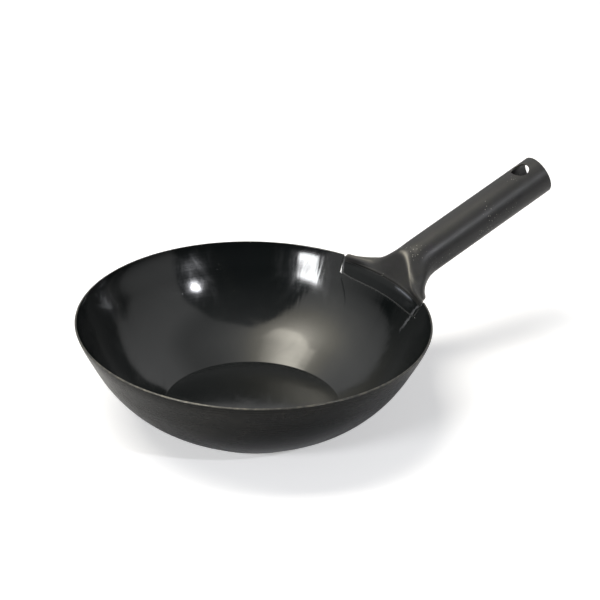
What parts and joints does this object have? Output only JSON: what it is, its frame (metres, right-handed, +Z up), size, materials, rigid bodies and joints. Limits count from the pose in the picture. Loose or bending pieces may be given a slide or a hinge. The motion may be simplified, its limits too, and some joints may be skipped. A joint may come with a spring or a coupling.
{
  "type": "wok",
  "caption": "Flat-bottomed carbon steel wok with a long handle rolled from one sheet into an open-ended tube, its root flared and welded into a notch in the wall, with a hanging hole.",
  "frame": {"origin": "centre of the bowl's flat underside", "axes": "+Z up, +X towards the handle's open end, +Y to the left as seen along +X"},
  "size_m": [0.4691, 0.3, 0.158],
  "materials": {
    "bowl_steel": "dark seasoned steel, glossy inside and satin outside",
    "handle_steel": "dark oiled steel, satin",
    "weld_steel": "dark weld metal, rough"
  },
  "bodies": {
    "root": {"bowl": "bowl_steel", "handle": "handle_steel", "root_weld": "weld_steel", "corner_weld_left": "weld_steel", "corner_weld_right": "weld_steel"}
  },
  "joints": []
}
